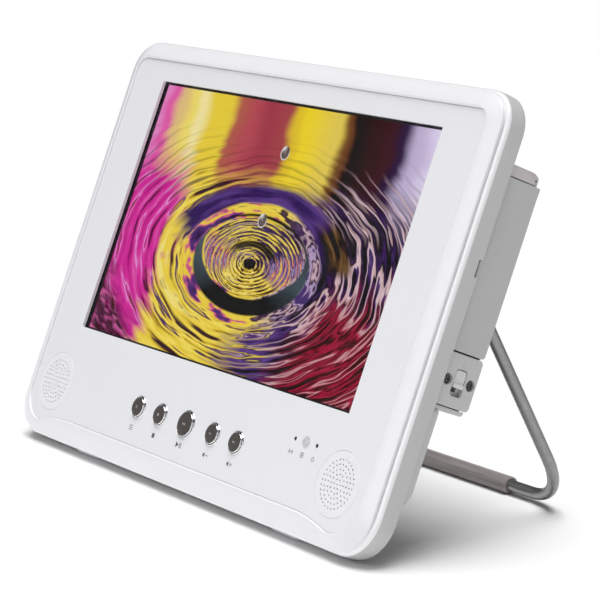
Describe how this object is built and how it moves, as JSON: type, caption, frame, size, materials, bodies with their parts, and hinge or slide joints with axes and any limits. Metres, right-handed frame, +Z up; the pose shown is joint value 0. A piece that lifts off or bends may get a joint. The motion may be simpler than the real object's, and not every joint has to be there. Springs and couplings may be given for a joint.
{
  "type": "portable television",
  "caption": "Flat white portable television with disc player, side service door and latch, round speakers, push buttons and a folding wire stand.",
  "frame": {"origin": "centre of the footprint on the surface that the television stands on", "axes": "+Z up, +X to the right of a viewer who faces the screen, -Y towards the viewer"},
  "size_m": [0.356, 0.1612, 0.2292],
  "materials": {
    "case_front": "smooth moulded white",
    "panel": "smooth white with a faint blue cast",
    "grille": "fine moulded white",
    "lens": "clear polished",
    "black_trim": "black satin",
    "picture": "lit display surface",
    "light_sheet": "diffusing white",
    "steel_sheet": "plain pressed sheet",
    "button_cap": "dark metallic gloss",
    "bright_ring": "polished",
    "silicone": "translucent matt",
    "circuit_board": "solder resist",
    "dark_lens": "smoked",
    "speaker_frame": "black paint",
    "cone": "pressed paper",
    "seal": "grey matt",
    "case_rear": "fine spark-eroded texture",
    "screw": "zinc plated",
    "steel_pin": "ground",
    "tray": "dark satin",
    "hub": "black",
    "slider": "smooth white",
    "dark_screw": "blackened steel",
    "stand_rod": "satin grey",
    "sleeve": "soft warm grey",
    "foot": "white soft plastic",
    "battery": "shrink film"
  },
  "bodies": {
    "case": {"front_bezel": "case_front", "front_panel": "panel", "speaker_grille_left": "grille", "speaker_grille_right": "grille", "window_lens": "lens", "screen_gasket": "black_trim", "lcd_glass": "picture", "lcd_backlight": "light_sheet", "lcd_chassis": "steel_sheet", "button_rings": "bright_ring", "keypad_mat": "silicone", "key_board": "circuit_board", "led_lenses": "dark_lens", "ir_grille": "panel", "ir_receiver": "black_trim", "speaker_left": "speaker_frame", "speaker_right": "speaker_frame", "speaker_cone_left": "cone", "speaker_cone_right": "cone", "case_seal": "seal", "rear_shell": "case_rear", "back_cover_left": "case_rear", "back_cover_right": "case_rear", "cover_screws": "screw", "lid_pins": "steel_pin", "disc_tray": "tray", "spindle_motor": "steel_sheet", "sled_rails": "steel_pin", "sled_motor": "steel_sheet", "door_pin": "steel_pin", "door_seal": "seal", "jack_bay": "tray", "jack_board": "circuit_board", "dc_jack": "black_trim", "phone_jacks": "black_trim", "card_slot": "steel_sheet", "latch_block": "case_rear", "latch_screws": "dark_screw", "stand_bracket_left": "case_rear", "stand_bracket_right": "case_rear", "bracket_screws": "screw", "feet": "foot", "main_board": "circuit_board", "board_parts": "black_trim", "battery_pack": "battery", "tuner_can": "steel_sheet"},
    "stand": {"stand_rod": "stand_rod", "stand_sleeve": "sleeve"},
    "menu_button": {"button_menu": "button_cap"},
    "stop_button": {"button_stop": "button_cap"},
    "play_button": {"button_play": "button_cap"},
    "volume_down_button": {"button_volume_down": "button_cap"},
    "volume_up_button": {"button_volume_up": "button_cap"},
    "side_door": {"service_door": "case_rear"},
    "latch": {"latch_slider": "slider", "latch_bolt": "steel_sheet"},
    "lid": {"disc_lid": "case_rear"},
    "disc_table": {"turntable": "hub"},
    "pickup": {"pickup_sled": "hub"},
    "feed_screw": {"lead_screw": "steel_pin"}
  },
  "joints": [
    {"name": "stand_fold", "type": "hinge", "parent": "case", "child": "stand", "pos_m": [0, 0.01276, 0.12079], "axis": [1, 0, 0], "range_deg": [-50, 0]},
    {"name": "menu_button_press", "type": "slide", "parent": "case", "child": "menu_button", "axis": [0, 0.9259, -0.3778], "range_m": [0, 0.0008], "stiffness_N_per_m": 900},
    {"name": "stop_button_press", "type": "slide", "parent": "case", "child": "stop_button", "axis": [0, 0.9259, -0.3778], "range_m": [0, 0.0008], "stiffness_N_per_m": 900},
    {"name": "play_button_press", "type": "slide", "parent": "case", "child": "play_button", "axis": [0, 0.9259, -0.3778], "range_m": [0, 0.0008], "stiffness_N_per_m": 900},
    {"name": "volume_down_button_press", "type": "slide", "parent": "case", "child": "volume_down_button", "axis": [0, 0.9259, -0.3778], "range_m": [0, 0.0008], "stiffness_N_per_m": 900},
    {"name": "volume_up_button_press", "type": "slide", "parent": "case", "child": "volume_up_button", "axis": [0, 0.9259, -0.3778], "range_m": [0, 0.0008], "stiffness_N_per_m": 900},
    {"name": "side_door_swing", "type": "hinge", "parent": "case", "child": "side_door", "pos_m": [0.1725, 0.01843, 0.18231], "axis": [0, -0.9259, 0.3778], "range_deg": [0, 90]},
    {"name": "latch_slide", "type": "slide", "parent": "case", "child": "latch", "axis": [0, -0.3778, -0.9259], "range_m": [0, 0.004]},
    {"name": "lid_swing", "type": "hinge", "parent": "case", "child": "lid", "pos_m": [0, 0.03247, 0.1876], "axis": [1, 0, 0], "range_deg": [0, 105]},
    {"name": "disc_spin", "type": "hinge", "parent": "case", "child": "disc_table", "pos_m": [0, -0.00131, 0.13129], "axis": [0, 0.9259, -0.3778], "continuous": true},
    {"name": "pickup_travel", "type": "slide", "parent": "case", "child": "pickup", "axis": [1, 0, 0], "range_m": [0, 0.022]},
    {"name": "feed_screw_turn", "type": "hinge", "parent": "case", "child": "feed_screw", "pos_m": [0.04, -0.01638, 0.11475], "axis": [1, 0, 0], "range_deg": [0, 2650]}
  ],
  "couplings": [
    {"joint": "feed_screw_turn", "follows": "pickup_travel", "rad_per_m": 2094.4}
  ]
}
